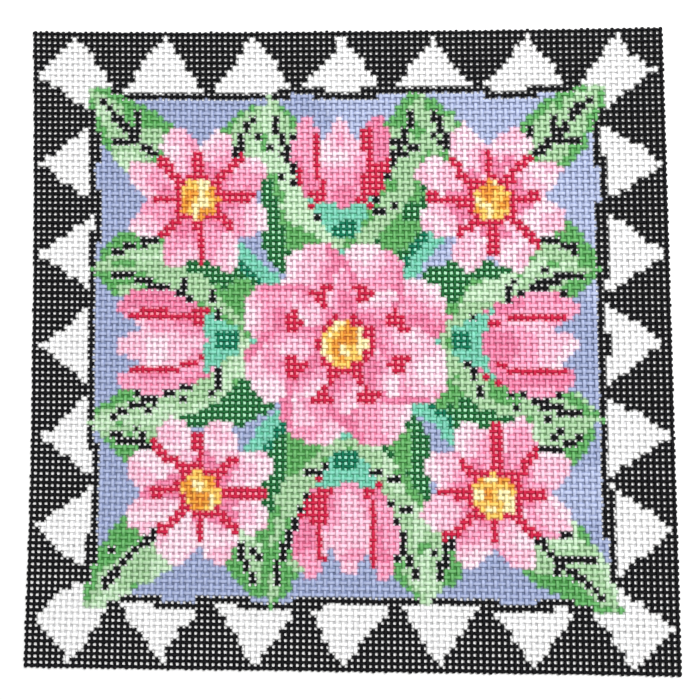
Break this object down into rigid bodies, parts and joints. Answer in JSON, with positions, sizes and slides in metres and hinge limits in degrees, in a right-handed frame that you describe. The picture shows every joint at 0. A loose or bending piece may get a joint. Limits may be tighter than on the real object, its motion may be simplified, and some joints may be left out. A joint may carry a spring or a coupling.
{
  "type": "needlepoint canvas panel",
  "caption": "Flat square panel of stiff open-weave needlepoint canvas with a painted flower design inside a black and white border, to be stitched over.",
  "frame": {"origin": "middle of the underside, on the surface that the panel lies on", "axes": "+Z out of the painted face, +Y towards the top of the design, +X towards its right side"},
  "size_m": [0.212, 0.212, 0.0011],
  "materials": {
    "painted_canvas": "matte painted cotton canvas"
  },
  "bodies": {
    "root": {"canvas": "painted_canvas"}
  },
  "joints": []
}
